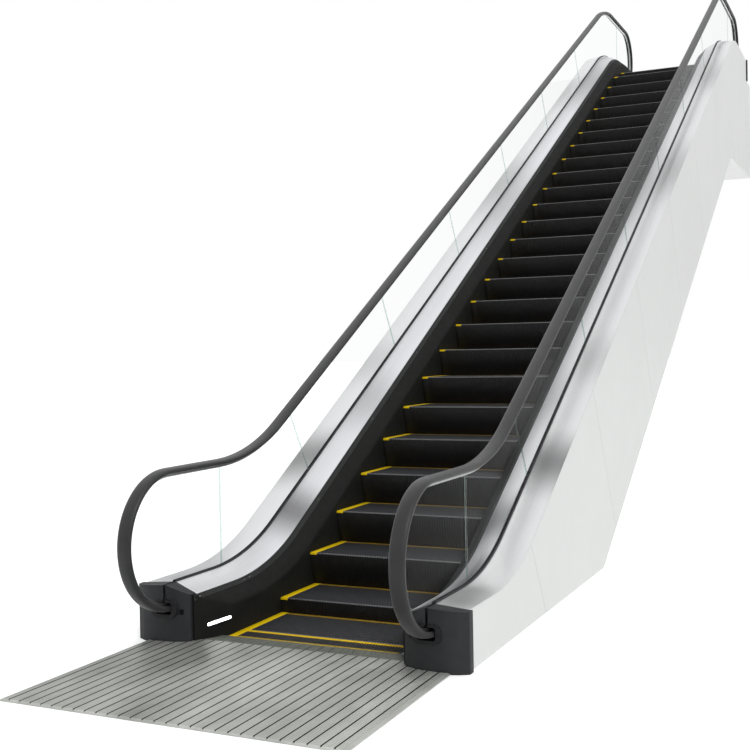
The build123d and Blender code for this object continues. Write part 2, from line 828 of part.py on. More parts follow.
def build_angle():
    top = rise - beam_width
    foot = top - angle_leg
    upright = box_between((-truss_x, machine_end, foot), (truss_x, machine_end + angle_thickness, top))
    shelf = box_between((-truss_x, machine_end, foot), (truss_x, machine_end + angle_leg, foot + angle_thickness))
    return upright + shelf


save(build_end(), "upper_end_plate")
save(build_angle(), "upper_support_angle")
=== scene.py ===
import math
import bmesh
import bpy
from mathutils import Matrix, Vector


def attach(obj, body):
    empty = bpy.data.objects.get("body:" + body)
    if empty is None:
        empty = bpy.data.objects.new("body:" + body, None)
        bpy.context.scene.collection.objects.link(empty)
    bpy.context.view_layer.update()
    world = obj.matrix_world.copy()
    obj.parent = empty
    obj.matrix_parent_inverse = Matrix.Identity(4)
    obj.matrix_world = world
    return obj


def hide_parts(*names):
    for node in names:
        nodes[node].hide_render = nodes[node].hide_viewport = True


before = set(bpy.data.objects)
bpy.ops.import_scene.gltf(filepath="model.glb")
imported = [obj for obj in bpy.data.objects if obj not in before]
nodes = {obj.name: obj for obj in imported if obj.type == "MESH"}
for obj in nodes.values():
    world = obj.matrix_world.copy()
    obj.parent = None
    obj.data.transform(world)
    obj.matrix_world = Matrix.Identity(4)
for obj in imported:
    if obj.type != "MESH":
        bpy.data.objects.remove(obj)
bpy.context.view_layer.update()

sides = {"right": 1, "left": -1}

# Layout of the machine in metres: X across, Y from the lower to the upper landing, Z up
machine = {
    "rise": 5.090, "slope": math.radians(30), "landing": 0.012, "lowerCorner": 0.556, "upperRun": 1.430,
    "deckHeight": 0.280, "deckLift": 0.180, "deckBend": 1.300, "boxRear": 0.030,
    "stepHalf": 0.500, "stepPitch": 0.405, "stepBend": 1.000, "treadDrop": 0.003,
    "skirtX": 0.503, "ledgeX": 0.600, "glassX": 0.747, "seatHalf": 0.012, "machineHalf": 0.930,
    "deckCrown": 0.015, "ledgeDepth": 0.044}
run = math.tan(machine["slope"])
slopeSin, slopeCos = math.sin(machine["slope"]), math.cos(machine["slope"])
bendTangent = machine["stepBend"] * math.tan(machine["slope"] / 2)
upperCorner = machine["lowerCorner"] + machine["rise"] / run
upperBoxes = upperCorner + machine["upperRun"]
upperLevel = machine["landing"] + machine["rise"]


# Lines of the machine in side view

def filletLine(points, radii, parts=18):
    line = [points[0]]
    for corner, radius in zip(range(1, len(points) - 1), radii):
        before, at, after = (Vector(points[corner + step]) for step in (-1, 0, 1))
        back, ahead = (before - at).normalized(), (after - at).normalized()
        turn = math.acos(back.dot(ahead))
        middle = at + (back + ahead).normalized() * radius / math.sin(turn / 2)
        first = at + back * radius / math.tan(turn / 2) - middle
        last = at + ahead * radius / math.tan(turn / 2) - middle
        start = math.atan2(first.y, first.x)
        sweep = (math.atan2(last.y, last.x) - start + math.pi) % (2 * math.pi) - math.pi
        for part in range(parts + 1):
            angle = start + sweep * part / parts
            line.append((middle.x + radius * math.cos(angle), middle.y + radius * math.sin(angle)))
    line.append(points[-1])
    return line


# A line at one height over the landings and one lift over the step noses
def runLine(height, lift, bend, start, end):
    shift = (height - lift) / run
    low, high = machine["landing"] + height, upperLevel + height
    points = [(start, low), (machine["lowerCorner"] + shift, low), (upperCorner + shift, high), (end, high)]
    return filletLine(points, [bend, bend])


# Edge of the decks, which starts and ends this far behind the planes of the boxes
def deckLine(setback=machine["boxRear"]):
    return runLine(machine["deckHeight"], machine["deckLift"], machine["deckBend"], setback, upperBoxes - setback)


def lineNormal(line, place):
    before = Vector(line[max(place - 1, 0)])
    after = Vector(line[min(place + 1, len(line) - 1)])
    along = (after - before).normalized()
    return Vector((-along.y, along.x))


# Meshes

def addObject(name, data):
    made = bpy.data.objects.new(name, data)
    bpy.context.scene.collection.objects.link(made)
    return made


def finishPiece(bm, name, materials, replaced=(), sharp=35):
    bmesh.ops.recalc_face_normals(bm, faces=bm.faces)
    for face in bm.faces:
        face.smooth = True
    for edge in bm.edges:
        if len(edge.link_faces) == 2:
            edge.smooth = edge.calc_face_angle(0) < math.radians(sharp)
    mesh = bpy.data.meshes.new(name)
    bm.to_mesh(mesh)
    bm.free()
    for material in materials:
        mesh.materials.append(material)
    piece = addObject(name, mesh)
    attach(piece, "root")
    if replaced:
        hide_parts(*replaced)


# Rings of as many points each, joined into one skin with both ends closed
def skinRings(bm, rings, materialAt=None, lengths=None):
    uv = bm.loops.layers.uv.get("along") or bm.loops.layers.uv.new("along")
    corners = [[bm.verts.new(point) for point in ring] for ring in rings]
    count = len(corners[0])
    around = [0.0]
    for place in range(count):
        step = (Vector(rings[0][(place + 1) % count]) - Vector(rings[0][place])).length
        around.append(around[-1] + step)
    along = lengths or [float(place) for place in range(len(rings))]
    for ring in range(len(rings) - 1):
        first, second = corners[ring], corners[ring + 1]
        for place in range(count):
            after = (place + 1) % count
            face = bm.faces.new((first[place], first[after], second[after], second[place]))
            ends = ((ring, place), (ring, place + 1), (ring + 1, place + 1), (ring + 1, place))
            for loop, (u, v) in zip(face.loops, ends):
                loop[uv].uv = (along[u], around[v])
            if materialAt:
                face.material_index = materialAt(ring, place)
    bm.faces.new(corners[0])
    bm.faces.new(corners[-1])


# Carries the section that sectionAt gives for a point along a line in side view
def sweepAlong(bm, line, side, sectionAt):
    rings, lengths = [], [0.0]
    for place, point in enumerate(line):
        normal = lineNormal(line, place)
        rings.append([(side * x, point[0] + normal.x * up, point[1] + normal.y * up) for x, up in sectionAt(point)])
        if place:
            lengths.append(lengths[-1] + (Vector(point) - Vector(line[place - 1])).length)
    skinRings(bm, rings, lengths=lengths)


def sweepSection(bm, section, line, side, across=0.0):
    sweepAlong(bm, line, side, lambda point: [(across + x, up) for x, up in section])


# Materials

def addNode(tree, kind, values=None, **settings):
    node = tree.nodes.new("ShaderNode" + kind)
    for key, value in settings.items():
        setattr(node, key, value)
    for key, value in (values or {}).items():
        node.inputs[key].default_value = value
    return node


def joinNodes(tree, *pairs):
    for output, target in pairs:
        tree.links.new(output, target)


def colourPair(tree, factor, first, second):
    ramp = addNode(tree, "ValToRGB")
    ramp.color_ramp.elements[0].position = 0.3
    ramp.color_ramp.elements[1].position = 0.72
    ramp.color_ramp.elements[0].color = (*first, 1)
    ramp.color_ramp.elements[1].color = (*second, 1)
    joinNodes(tree, (factor, ramp.inputs["Fac"]))
    return ramp.outputs["Color"]


# Painted reflection: broad soft light and dark bands over the length of a brushed sheet, each with its place, half
# width and tone
def paintedReflectionBands(tree, uv, colour, reflectionBands, reach=14.0):
    axes = addNode(tree, "SeparateXYZ")
    share = addNode(tree, "Math", {1: 1 / reach}, operation="MULTIPLY")
    ramp = addNode(tree, "ValToRGB")
    ramp.color_ramp.interpolation = "EASE"
    stops = sorted({(max(0.0, (place + way * width) / reach), 1.0 if way else tone)
                    for place, width, tone in reflectionBands for way in (-1, 0, 1)})
    for place, tone in stops:
        stop = ramp.color_ramp.elements.new(place)
        stop.color = (tone, tone, tone * 1.01, 1)
    for edge in (0, -1):
        ramp.color_ramp.elements[edge].color = (1, 1, 1, 1)
    mix = addNode(tree, "Mix", {0: 1.0}, data_type="RGBA", blend_type="MULTIPLY")
    joinNodes(tree, (uv, axes.inputs["Vector"]), (axes.outputs["X"], share.inputs[0]),
              (share.outputs[0], ramp.inputs["Fac"]), (colour, mix.inputs[6]), (ramp.outputs["Color"], mix.inputs[7]))
    return mix.outputs[2]


def emptyMaterial(name):
    material = bpy.data.materials.new(name)
    material.use_nodes = True
    tree = material.node_tree
    tree.nodes.clear()
    return material, tree, addNode(tree, "OutputMaterial")


# One surface from its look: two colours in a cloudy grain, close for most surfaces and far apart on the floor plates
# as painted reflection, a roughness range and a fine relief
def makeSurface(name, look):
    material, tree, output = emptyMaterial(name)
    shader = addNode(tree, "BsdfPrincipled")
    shader.inputs["Metallic"].default_value = look.get("metallic", 0.0)
    for key, socket in (("sheen", "Sheen Weight"), ("specular", "Specular IOR Level"), ("anisotropic", "Anisotropic")):
        if key in look:
            shader.inputs[socket].default_value = look[key]
    place = addNode(tree, "TexCoord")
    mapping = addNode(tree, "Mapping")
    mapping.inputs["Scale"].default_value = look.get("stretch", (1, 1, 1))
    joinNodes(tree, (place.outputs["UV" if look.get("alongUv") else "Object"], mapping.inputs["Vector"]))
    cloud = addNode(tree, "TexNoise", {"Scale": look["grain"], "Detail": 7.0, "Roughness": 0.6})
    fine = addNode(tree, "TexNoise", {"Scale": look["grain"] * 4.3, "Detail": 4.0, "Roughness": 0.65})
    relief = addNode(tree, "TexNoise", {"Scale": look["reliefScale"], "Detail": 3.0, "Roughness": 0.5})
    for node in (cloud, fine, relief):
        joinNodes(tree, (mapping.outputs["Vector"], node.inputs["Vector"]))
    colour = colourPair(tree, cloud.outputs["Fac"], look["colour"], look["shade"])
    # Painted reflection: light and dark bands along the sheet's length
    if "reflectionBands" in look:
        colour = paintedReflectionBands(tree, place.outputs["UV"], colour, look["reflectionBands"])
    joinNodes(tree, (colour, shader.inputs["Base Color"]))
    rough = addNode(tree, "MapRange", {"To Min": look["roughness"][0], "To Max": look["roughness"][1],
                                       "From Min": 0.3, "From Max": 0.7})
    joinNodes(tree, (fine.outputs["Fac"], rough.inputs["Value"]),
              (rough.outputs["Result"], shader.inputs["Roughness"]))
    bump = addNode(tree, "Bump", {"Strength": look["relief"], "Distance": look.get("reliefDepth", 0.0006)})
    joinNodes(tree, (relief.outputs["Fac"], bump.inputs["Height"]), (bump.outputs["Normal"], shader.inputs["Normal"]),
              (shader.outputs["BSDF"], output.inputs["Surface"]))
    return material


brushedSteel = {"grain": 60, "metallic": 1.0, "roughness": (0.26, 0.38), "stretch": (0.02, 3.0, 1), "alongUv": True,
                "anisotropic": 0.4, "reliefScale": 240, "relief": 0.06, "reliefDepth": 0.0003}
surfaceLooks = {
    "treadCasting": {"colour": (0.030, 0.031, 0.034), "shade": (0.046, 0.047, 0.051), "grain": 34, "metallic": 0.2,
                     "roughness": (0.45, 0.65), "reliefScale": 900, "relief": 0.25, "specular": 0.25},
    # Risers: the step casting painted far darker than the treads, as painted shade on faces turned from the top light
    "riserCastingShaded": {"colour": (0.0045, 0.0045, 0.0045), "shade": (0.007, 0.007, 0.007), "grain": 30,
                     "roughness": (0.42, 0.58), "reliefScale": 900, "relief": 0.25, "specular": 0.30},
    # Painted highlight: lighter nose faces of the cleat ridges, as glints
    "noseGlint": {"colour": (0.20, 0.205, 0.21), "shade": (0.34, 0.345, 0.35), "grain": 60, "metallic": 0.5,
                 "roughness": (0.3, 0.45), "reliefScale": 900, "relief": 0.2},
    "markingYellow": {"colour": (0.74, 0.50, 0.001), "shade": (0.82, 0.57, 0.002), "grain": 22, "specular": 0.2,
                      "roughness": (0.38, 0.55), "reliefScale": 500, "relief": 0.2},
    "bandYellow": {"colour": (0.34, 0.21, 0.006), "shade": (0.46, 0.29, 0.008), "grain": 22,
                   "roughness": (0.45, 0.6), "reliefScale": 500, "relief": 0.2},
    "combAluminium": {"colour": (0.15, 0.16, 0.135), "shade": (0.20, 0.21, 0.18), "grain": 26, "metallic": 0.6,
                      "roughness": (0.40, 0.55), "stretch": (1, 0.15, 1), "reliefScale": 420, "relief": 0.3},
    # Floor plates: the broad light and dark patches on the aluminium are painted reflection
    "plateAluminiumAndReflections": {"colour": (0.34, 0.35, 0.32), "shade": (0.74, 0.75, 0.71), "grain": 1.7, "metallic": 0.7,
                       "roughness": (0.34, 0.50), "stretch": (1, 0.6, 1), "reliefScale": 300, "relief": 0.3},
    # Painted shade: near black bottoms of the floor plate grooves
    "plateGrooveShade": {"colour": (0.020, 0.021, 0.019), "shade": (0.032, 0.033, 0.030), "grain": 18, "metallic": 0.2,
                    "roughness": (0.5, 0.7), "reliefScale": 300, "relief": 0.3, "specular": 0.2},
    "skirtCoating": {"colour": (0.0085, 0.0090, 0.0080), "shade": (0.0115, 0.0120, 0.0110), "grain": 5,
                     "roughness": (0.62, 0.75), "reliefScale": 700, "relief": 0.08, "specular": 0.14},
    # Ledge trim: dark satin, lighter than the skirt as painted sheen on the slope; the box screws share it as plain
    # dark satin
    "satinAndLedgeSheen": {"colour": (0.024, 0.025, 0.024), "shade": (0.032, 0.033, 0.032), "grain": 12, "metallic": 0.2,
                  "roughness": (0.55, 0.65), "reliefScale": 600, "relief": 0.1, "specular": 0.2},
    # The decks' light and dark bands along the run are painted reflection
    "innerDeckSteel": {"colour": (0.78, 0.785, 0.80), "shade": (0.85, 0.855, 0.865), **brushedSteel,
                       "reflectionBands": ((1.17, 0.34, 0.34), (2.45, 0.55, 0.72), (6.0, 1.3, 0.72), (9.7, 1.4, 0.60))},
    "outerDeckSteel": {"colour": (0.80, 0.805, 0.80), "shade": (0.87, 0.875, 0.87), **brushedSteel,
                       "reflectionBands": ((0.1, 0.35, 0.85), (1.72, 0.42, 0.36), (2.95, 0.5, 0.78), (6.4, 1.1, 0.66),
                                 (9.3, 0.9, 0.74))},
    "seatRubber": {"colour": (0.022, 0.021, 0.024), "shade": (0.034, 0.033, 0.036), "grain": 20,
                   "roughness": (0.5, 0.65), "reliefScale": 300, "relief": 0.2},
    "railRubber": {"colour": (0.024, 0.024, 0.025), "shade": (0.031, 0.031, 0.032), "grain": 9,
                   "roughness": (0.34, 0.46), "reliefScale": 900, "relief": 0.10, "specular": 0.30, "sheen": 0.12},
    "guideMetal": {"colour": (0.50, 0.51, 0.51), "shade": (0.60, 0.61, 0.61), "grain": 40, "metallic": 1.0,
                   "roughness": (0.28, 0.40), "stretch": (0.03, 3.0, 1), "alongUv": True,
                   "reliefScale": 200, "relief": 0.05},
    "inletPlastic": {"colour": (0.022, 0.023, 0.025), "shade": (0.028, 0.029, 0.031), "grain": 14,
                     "roughness": (0.45, 0.58), "reliefScale": 1600, "relief": 0.15, "specular": 0.25},
    "collarPlastic": {"colour": (0.016, 0.016, 0.018), "shade": (0.022, 0.022, 0.024), "grain": 14,
                      "roughness": (0.5, 0.62), "reliefScale": 1200, "relief": 0.2, "specular": 0.2},
    "sensorWindow": {"colour": (0.004, 0.004, 0.005), "shade": (0.006, 0.006, 0.007), "grain": 30,
                     "roughness": (0.35, 0.45), "reliefScale": 300, "relief": 0.02, "specular": 0.08},
    "claddingPaint": {"colour": (0.685, 0.695, 0.685), "shade": (0.705, 0.715, 0.705), "grain": 1.6,
                      "roughness": (0.38, 0.50), "reliefScale": 1300, "relief": 0.06},
    "soffitPaint": {"colour": (0.76, 0.77, 0.76), "shade": (0.79, 0.80, 0.79), "grain": 2.2,
                    "roughness": (0.45, 0.58), "reliefScale": 1100, "relief": 0.08},
    "primerGrey": {"colour": (0.30, 0.31, 0.32), "shade": (0.37, 0.38, 0.39), "grain": 7,
                   "roughness": (0.55, 0.7), "reliefScale": 500, "relief": 0.2},
    "panZinc": {"colour": (0.40, 0.41, 0.42), "shade": (0.50, 0.51, 0.52), "grain": 24, "metallic": 0.8,
                "roughness": (0.35, 0.55), "reliefScale": 300, "relief": 0.1},
    "screwSteel": {"colour": (0.55, 0.55, 0.56), "shade": (0.70, 0.70, 0.71), "grain": 90, "metallic": 1.0,
                   "roughness": (0.18, 0.32), "reliefScale": 900, "relief": 0.1}}
surfaces = {name: makeSurface(name, look) for name, look in surfaceLooks.items()}


# Clear glass that casts no shadow, a little green in its depth
def makeGlass(name, look):
    material, tree, output = emptyMaterial(name)
    shader = addNode(tree, "BsdfPrincipled", {"Base Color": look["tint"], "Transmission Weight": 1.0,
                                              "IOR": look["ior"]})
    place = addNode(tree, "TexCoord")
    smear = addNode(tree, "TexNoise", {"Scale": 3.0, "Detail": 5.0})
    rough = addNode(tree, "MapRange", {"To Min": look["roughness"], "To Max": look["roughness"] + 0.002,
                                       "From Min": 0.4, "From Max": 0.8})
    joinNodes(tree, (place.outputs["Object"], smear.inputs["Vector"]), (smear.outputs["Fac"], rough.inputs["Value"]),
              (rough.outputs["Result"], shader.inputs["Roughness"]))
    clear = addNode(tree, "BsdfTransparent")
    path = addNode(tree, "LightPath")
    mix = addNode(tree, "MixShader")
    joinNodes(tree, (path.outputs["Is Shadow Ray"], mix.inputs["Fac"]), (shader.outputs["BSDF"], mix.inputs[1]),
              (clear.outputs["BSDF"], mix.inputs[2]), (mix.outputs["Shader"], output.inputs["Surface"]))
    return material


def makeLamp(name, look):
    material = bpy.data.materials.new(name)
    material.use_nodes = True
    tree = material.node_tree
    shader = tree.nodes["Principled BSDF"]
    shader.inputs["Base Color"].default_value = look["lens"]
    shader.inputs["Emission Color"].default_value = look["light"]
    shader.inputs["Emission Strength"].default_value = look["strength"]
    place = addNode(tree, "TexCoord")
    frost = addNode(tree, "TexNoise", {"Scale": 600.0, "Detail": 2.0})
    bump = addNode(tree, "Bump", {"Strength": 0.15, "Distance": 0.0004})
    joinNodes(tree, (place.outputs["Object"], frost.inputs["Vector"]), (frost.outputs["Fac"], bump.inputs["Height"]),
              (bump.outputs["Normal"], shader.inputs["Normal"]))
    return material


glass = makeGlass("balustradeGlass", {"tint": (0.988, 0.995, 0.992, 1), "roughness": 0.0, "ior": 1.05})
paneEdge = makeGlass("paneEdge", {"tint": (0.66, 0.79, 0.74, 1), "roughness": 0.08, "ior": 1.30})
lampLens = makeLamp("lampLens", {"lens": (0.9, 0.92, 0.91, 1), "light": (0.97, 1.0, 0.98, 1), "strength": 6.0})

# CAD nodes that stay, by the end of their name
keptNodes = {
    "inlet_box": surfaces["inletPlastic"], "inlet_collars": surfaces["collarPlastic"],
    "balustrade_glass": glass, "cladding": surfaces["claddingPaint"],
    "soffit": surfaces["soffitPaint"], "upper_end_plate": surfaces["soffitPaint"],
    "truss_frame": surfaces["primerGrey"], "cross_beams": surfaces["primerGrey"],
    "balustrade_brackets": surfaces["primerGrey"], "step_track": surfaces["primerGrey"],
    "upper_support_angle": surfaces["primerGrey"], "base_pan": surfaces["panZinc"]}
for nodeName, node in nodes.items():
    for ending, material in keptNodes.items():
        if nodeName.endswith(ending):
            node.data.materials.clear()
            node.data.materials.append(material)
print("materials ready")


# Step band

cleats = {
    "count": 58, "rightEdge": 0.496, "ridgeShare": 0.44, "wallShare": 0.09, "depth": 0.005, "riserDepth": 0.0035,
    "flatDrop": 0.0012, "treadThick": 0.014, "riserThick": 0.012, "riserFoot": 0.008,
    "riserShares": (0.0, 0.3, 0.62, 1.0), "noseRadius": 0.007, "noseTurn": 0.293, "noseSlant": 0.7, "noseShare": 0.75,
    "stepGap": 0.004, "rearBand": 0.026, "innerBendIn": 0.012, "innerBendDown": 0.006, "combTip": 0.190,
    "toothLength": 0.042, "cutLevel": 0.0025, "cutGap": 0.002}
strips = {"width": 0.046, "lip": 0.013, "lift": 0.0006, "edgeDrop": 0.0010, "inset": 0.002, "sink": 0.0013}
cleatHalf = machine["stepHalf"] - strips["width"]
cleatPitch = (cleatHalf + cleats["rightEdge"]) / cleats["count"]
treadBack = machine["stepPitch"] - cleats["stepGap"]
riserDeep = machine["stepPitch"] * slopeSin + cleats["riserFoot"]


def noseHeight(y):
    bend, corner = machine["stepBend"], machine["lowerCorner"]
    if y <= corner - bendTangent:
        return 0.0
    if y < corner + bendTangent * slopeCos:
        return bend - math.sqrt(bend ** 2 - (y - corner + bendTangent) ** 2)
    if y <= upperCorner - bendTangent * slopeCos:
        return (y - corner) * run
    if y < upperCorner + bendTangent:
        return machine["rise"] - bend + math.sqrt(bend ** 2 - (upperCorner + bendTangent - y) ** 2)
    return machine["rise"]


def nextNose(y, way):
    near, far = 0.0, machine["stepPitch"]
    for halving in range(40):
        reach = (near + far) / 2
        if math.hypot(reach, noseHeight(y + way * reach) - noseHeight(y)) < machine["stepPitch"]:
            near = reach
        else:
            far = reach
    return y + way * near


def nosePlaces():
    pitchRun = machine["stepPitch"] * slopeCos
    bendRun = bendTangent * slopeCos
    places = [machine["lowerCorner"] + bendRun + pitchRun * cleats["noseShare"]]
    while places[0] > cleats["combTip"]:
        places.insert(0, nextNose(places[0], -1))
    while places[-1] + machine["stepPitch"] < upperBoxes - cleats["combTip"]:
        places.append(nextNose(places[-1], 1))
    return places


# The outside of a step in side view, from the rear of the tread over the nose down the curved riser
def stepSkin(treadInset, riserInset):
    nose, pitch = cleats["noseRadius"], machine["stepPitch"]
    line = [(treadBack, -treadInset), (treadBack - cleats["rearBand"], -treadInset), (nose, -treadInset)]
    turn, slant = cleats["noseTurn"] * nose, cleats["noseSlant"]
    line.append((turn + riserInset * slant, -turn - treadInset * slant))
    for share in cleats["riserShares"]:
        deep = nose + (riserDeep - nose) * share
        line.append((pitch - math.sqrt(pitch ** 2 - deep ** 2) + riserInset, -deep - treadInset * (1 - share)))
    return line


def stepInside():
    pitch = machine["stepPitch"]
    foot = pitch - math.sqrt(pitch ** 2 - riserDeep ** 2)
    thick = cleats["treadThick"]
    bend = (cleats["riserThick"] + cleats["innerBendIn"], -thick - cleats["innerBendDown"])
    return [(foot + cleats["riserThick"], -riserDeep), bend, (treadBack, -thick)]


def stepColumns():
    ridge, wall = cleats["ridgeShare"] * cleatPitch, cleats["wallShare"] * cleatPitch
    columns = [(-machine["stepHalf"], "flat"), (-cleatHalf, "flat")]
    for number in range(cleats["count"]):
        left = -cleatHalf + number * cleatPitch + (cleatPitch - ridge) / 2
        columns += [(left - wall, "groove"), (left, "ridge"), (left + ridge, "ridge"), (left + ridge + wall, "groove")]
    return columns + [(cleats["rightEdge"], "flat"), (machine["stepHalf"], "flat")]


def buildSteps(name, places, cuts, replaced):
    bm = bmesh.new()
    insets = {"ridge": (0.0, 0.0), "groove": (cleats["depth"], cleats["riserDepth"]),
              "flat": (cleats["flatDrop"], cleats["flatDrop"])}
    skins = {kind: stepSkin(*inset) + stepInside() for kind, inset in insets.items()}
    columns = stepColumns()
    for y in places:
        level = machine["landing"] - machine["treadDrop"] + noseHeight(y)
        rings = [[(x, y + along, level + up) for along, up in skins[kind]] for x, kind in columns]

        def surfaceAt(ring, row):
            if row == 0:
                return 4 if y == noses[0] else 1
            # Painted highlight on the noses of the ridges
            if row in (2, 3) and columns[ring][1] == columns[ring + 1][1] == "ridge":
                return 3
            # Riser rows take the painted shade copy of the casting
            return 2 if 3 <= row < 8 else 0
        skinRings(bm, rings, materialAt=surfaceAt)
    for point, normal in cuts:
        cutAway(bm, point, normal)
    paints = [surfaces[key] for key in ("treadCasting", "bandYellow", "riserCastingShaded", "noseGlint", "markingYellow")]
    finishPiece(bm, name, paints, replaced, sharp=30)


# Keeps the side of a plane that its normal points away from, and closes the cut
def cutAway(bm, point, normal):
    everything = bm.verts[:] + bm.edges[:] + bm.faces[:]
    made = bmesh.ops.bisect_plane(bm, geom=everything, plane_co=point, plane_no=normal, clear_outer=True)
    rim = [item for item in made["geom_cut"] if isinstance(item, bmesh.types.BMEdge)]
    bmesh.ops.holes_fill(bm, edges=rim, sides=0)


# Yellow strip along the left side of each step
def buildStrips(name, places, cuts):
    bm = bmesh.new()
    nose, turn = cleats["noseRadius"], cleats["noseTurn"] * cleats["noseRadius"]
    lift, inset, lip = strips["lift"], strips["inset"], strips["lip"]
    outer = [(treadBack, lift), (nose, lift), (turn - lift, -turn + lift), (-lift, -nose), (-lift, -lip)]
    inner = [(inset, -lip), (inset, -nose), (nose, -strips["sink"]), (treadBack, -strips["sink"])]
    edges = ((cleatHalf + 0.001, strips["edgeDrop"]), (cleatHalf + 0.003, 0.0),
             (machine["stepHalf"] - 0.0025, 0.0), (machine["stepHalf"] - 0.0005, strips["edgeDrop"]))
    for y in places:
        level = machine["landing"] - machine["treadDrop"] + noseHeight(y)
        rings = []
        for x, drop in edges:
            skin = [(along, up - drop) for along, up in outer] + inner
            rings.append([(-x, y + along, level + up) for along, up in skin])
        skinRings(bm, rings)
    for point, normal in cuts:
        cutAway(bm, point, normal)
    finishPiece(bm, name, [surfaces["markingYellow"]], sharp=40)


noses = nosePlaces()
combRoot = cleats["combTip"] - cleats["toothLength"]
stepEnd = combRoot + cleats["cutGap"]
lowerCuts = [((0, 0, cleats["cutLevel"]), (0, 0, -1)), ((0, stepEnd, 0), (0, -1, 0))]
upperCuts = [((0, upperBoxes - stepEnd, 0), (0, 1, 0))]
groups = {"lower": [y for y in noses if y < machine["lowerCorner"] + machine["stepPitch"] * 2]}
groups["upper"] = [y for y in noses if y not in groups["lower"]
                   and noseHeight(y) >= machine["rise"] - machine["stepPitch"] / 2]
groups["incline"] = [y for y in noses if y not in groups["lower"] and y not in groups["upper"]]
buildSteps("lowerLandingSteps", groups["lower"], lowerCuts, ["lower_landing_steps"])
buildSteps("inclineSteps", groups["incline"], [], ["incline_steps"])
buildSteps("upperLandingSteps", groups["upper"], upperCuts, ["upper_landing_steps"])
buildStrips("lowerSideStrips", groups["lower"], lowerCuts)
buildStrips("inclineSideStrips", groups["incline"], [])
buildStrips("upperSideStrips", groups["upper"], upperCuts)
print("steps ready:", {key: len(value) for key, value in groups.items()})


# Combs and floor plates

plate = {
    "half": 0.863, "length": 1.095, "upperLength": 0.380, "tongueHalf": 0.613, "combBack": 0.045, "combGap": 0.001,
    "thick": 0.012, "bevel": 0.007, "groovePitch": 0.060, "grooveWidth": 0.0085, "grooveDepth": 0.0045,
    "ribs": 5, "ribDepth": 0.0018, "ribWidth": 0.0038, "rear": 0.0185, "rearBulge": 0.044, "rearLean": 0.026,
    "boxFacet": 0.897, "flareX": 0.603, "flareLength": 0.210, "flareGap": 0.002}


# The upper landing is the lower one turned and lifted
def toTop(point):
    return (-point[0], upperBoxes - point[1], machine["rise"] + point[2])


def toBottom(point):
    return point


# Places across the plate with the depth of its surface there
def plateRelief(half):
    marks = []
    count = int(half / plate["groovePitch"]) + 1
    for number in range(-count, count + 1):
        middle = (number + 0.5) * plate["groovePitch"]
        marks.append((middle, plate["grooveWidth"], plate["grooveDepth"]))
        for rib in range(1, plate["ribs"]):
            marks.append((middle + plate["groovePitch"] * rib / plate["ribs"], plate["ribWidth"], plate["ribDepth"]))
    columns = []
    for middle, width, depth in sorted(marks):
        for offset, drop in ((-width / 2, 0.0), (-width * 0.35, depth), (width * 0.35, depth), (width / 2, 0.0)):
            if abs(middle + offset) < half - 0.001:
                columns.append((middle + offset, drop))
    return columns


# Rear edge of the plate along the bulged front of a box
def boxFront(x):
    share = (abs(x) - plate["tongueHalf"]) / (plate["boxFacet"] - plate["tongueHalf"]) * 2 - 1
    return -plate["rear"] - plate["rearBulge"] * (1 - share ** 2) - max(0.0, share) * plate["rearLean"]


def buildFloorPlate(name, length, move, replaced):
    bm = bmesh.new()
    top, bevel = plate["thick"], plate["bevel"]
    tongue = plate["tongueHalf"]
    columns = [(-plate["half"], bevel)] + plateRelief(plate["half"] - bevel) + [(plate["half"], bevel)]
    columns = sorted(columns + [(-tongue, 0.0), (tongue, 0.0)])
    tongueEnd, front = plate["combBack"] - plate["combGap"], -length
    rings = []
    for x, drop in columns:
        ends = [boxFront(x)] if abs(x) > tongue else [tongueEnd]
        if abs(x) == tongue:
            ends = [boxFront(x), tongueEnd] if x < 0 else [tongueEnd, boxFront(x)]
        for end in ends:
            ring = [(x, front, 0.0), (x, front, top - bevel), (x, front + bevel, top - drop), (x, end, top - drop),
                    (x, end, 0.0)]
            rings.append([move(point) for point in ring])

    def surfaceAt(ring, place):
        drop = move((0, 0, top))[2] - min(rings[ring][place][2], rings[ring + 1][place][2])
        # Groove bottoms take the painted shade
        inGroove = place == 2 and 0.9 < drop / plate["grooveDepth"] < 1.1
        return 1 if inGroove else 0
    skinRings(bm, rings, materialAt=surfaceAt)
    finishPiece(bm, name, [surfaces["plateAluminiumAndReflections"], surfaces["plateGrooveShade"]], replaced, sharp=25)


def flareHalf(y):
    share = max(0.0, 1 - y / plate["flareLength"])
    return machine["skirtX"] + (plate["flareX"] - machine["skirtX"]) * share


